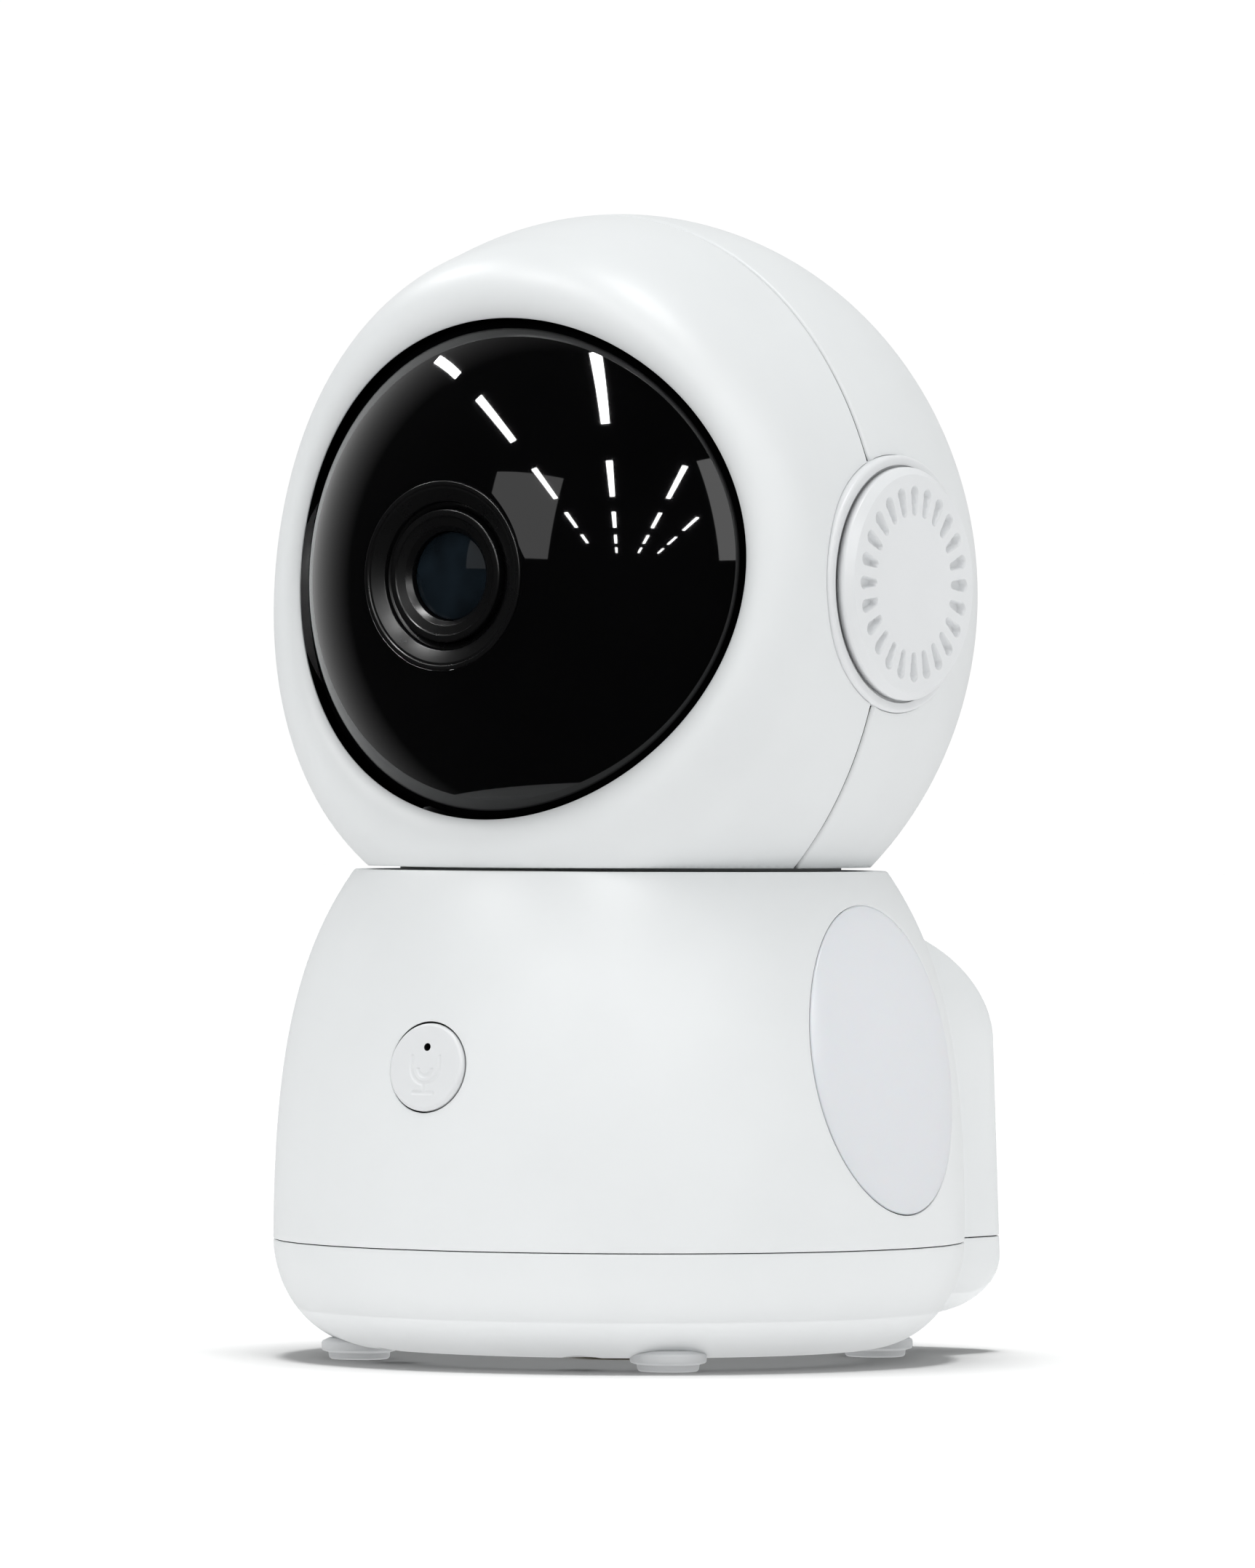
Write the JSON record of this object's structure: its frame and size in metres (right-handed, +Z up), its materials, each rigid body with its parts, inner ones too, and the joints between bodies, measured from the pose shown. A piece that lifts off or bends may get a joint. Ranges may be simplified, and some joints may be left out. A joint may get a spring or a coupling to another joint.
{
  "type": "security camera",
  "caption": "Round-based indoor security camera with a head that pans, a black lens ball that tilts inside it, side lamps and a call button.",
  "frame": {"origin": "on the pan axis, on the surface that the feet stand on", "axes": "+Z up along the pan axis, -Y towards the front (the call button and, at rest, the lens), +X to the object's left ear as seen from behind it, along the tilt axis"},
  "size_m": [0.0768, 0.0792, 0.1244],
  "materials": {
    "white_shell": "fine satin moulded white",
    "white_trim": "satin moulded white",
    "milk_cover": "milky diffuser, semi-gloss",
    "black_gloss": "polished black, lets infrared through",
    "black_matte": "fine matt black",
    "lens_glass": "coated glass, bluish",
    "circuit_board": "green solder mask",
    "inner_plastic": "unpainted moulding",
    "gear_plastic": "natural acetal",
    "motor_steel": "plated can",
    "screw_steel": "zinc",
    "ballast_iron": "raw plate",
    "brass": "machined",
    "foot_pad": "light grey rubber"
  },
  "bodies": {
    "base": {"base_shell": "white_shell", "base_bottom": "white_shell", "tripod_insert": "brass", "ballast_plate": "ballast_iron", "base_screws": "screw_steel", "foot_front_left": "foot_pad", "foot_front_right": "foot_pad", "foot_rear_left": "foot_pad", "foot_rear_right": "foot_pad", "side_cover_left": "milk_cover", "side_cover_right": "milk_cover", "lamp_board_left": "circuit_board", "lamp_board_right": "circuit_board", "button_board": "circuit_board", "button_switch": "black_matte", "microphone": "brass", "main_board": "circuit_board", "power_socket": "screw_steel", "card_socket": "screw_steel", "reset_switch": "black_matte", "bearing_plate": "inner_plastic", "pan_bush": "brass", "pan_motor": "motor_steel"},
    "call_button": {"call_button": "white_trim"},
    "reset_button": {"reset_button": "white_trim"},
    "pan_pinion": {"pan_pinion": "gear_plastic"},
    "head": {"head_front_shell": "white_shell", "head_rear_shell": "white_shell", "head_frame": "inner_plastic", "frame_screws": "screw_steel", "pan_gear": "gear_plastic", "pan_clip": "screw_steel", "ear_flange_left": "white_trim", "ear_flange_right": "white_trim", "ear_cap_left": "white_trim", "ear_cap_right": "white_trim", "speaker_left": "black_matte", "speaker_right": "black_matte", "tilt_bracket": "inner_plastic", "tilt_motor": "motor_steel", "head_board": "circuit_board", "antenna": "brass"},
    "tilt_pinion": {"tilt_pinion": "gear_plastic"},
    "ball": {"ball_front": "black_gloss", "ball_back": "black_matte", "tilt_hub_left": "gear_plastic", "tilt_hub_right": "gear_plastic", "tilt_gear": "gear_plastic", "lens_ring": "black_gloss", "lens_barrel": "black_matte", "front_glass": "lens_glass", "inner_lens": "lens_glass", "lens_holder": "black_matte", "sensor_board": "circuit_board", "infrared_board": "circuit_board", "infrared_lamps": "lens_glass", "ball_screws": "screw_steel"}
  },
  "joints": [
    {"name": "head_pan", "type": "hinge", "parent": "base", "child": "head", "pos_m": [0, 0, 0.0395], "axis": [0, 0, 1], "range_deg": [-172.5, 172.5]},
    {"name": "lens_tilt", "type": "hinge", "parent": "head", "child": "ball", "pos_m": [0, 0, 0.084], "axis": [-1, 0, 0], "range_deg": [-30, 40]},
    {"name": "pan_pinion_spin", "type": "hinge", "parent": "base", "child": "pan_pinion", "pos_m": [0, 0.021, 0.0439], "axis": [0, 0, 1], "range_deg": [-690, 690]},
    {"name": "tilt_pinion_spin", "type": "hinge", "parent": "head", "child": "tilt_pinion", "pos_m": [-0.0232, 0.021, 0.084], "axis": [-1, 0, 0], "range_deg": [-160, 120]},
    {"name": "call_button_press", "type": "slide", "parent": "base", "child": "call_button", "axis": [0, 0.9848, -0.1736], "range_m": [0, 0.0006], "stiffness_N_per_m": 600, "springref_m": -0.001},
    {"name": "reset_button_press", "type": "slide", "parent": "base", "child": "reset_button", "axis": [0, -1, 0], "range_m": [0, 0.0005], "stiffness_N_per_m": 400, "springref_m": -0.001}
  ],
  "couplings": [
    {"joint": "pan_pinion_spin", "follows": "head_pan", "ratio": -4},
    {"joint": "tilt_pinion_spin", "follows": "lens_tilt", "ratio": -4}
  ]
}
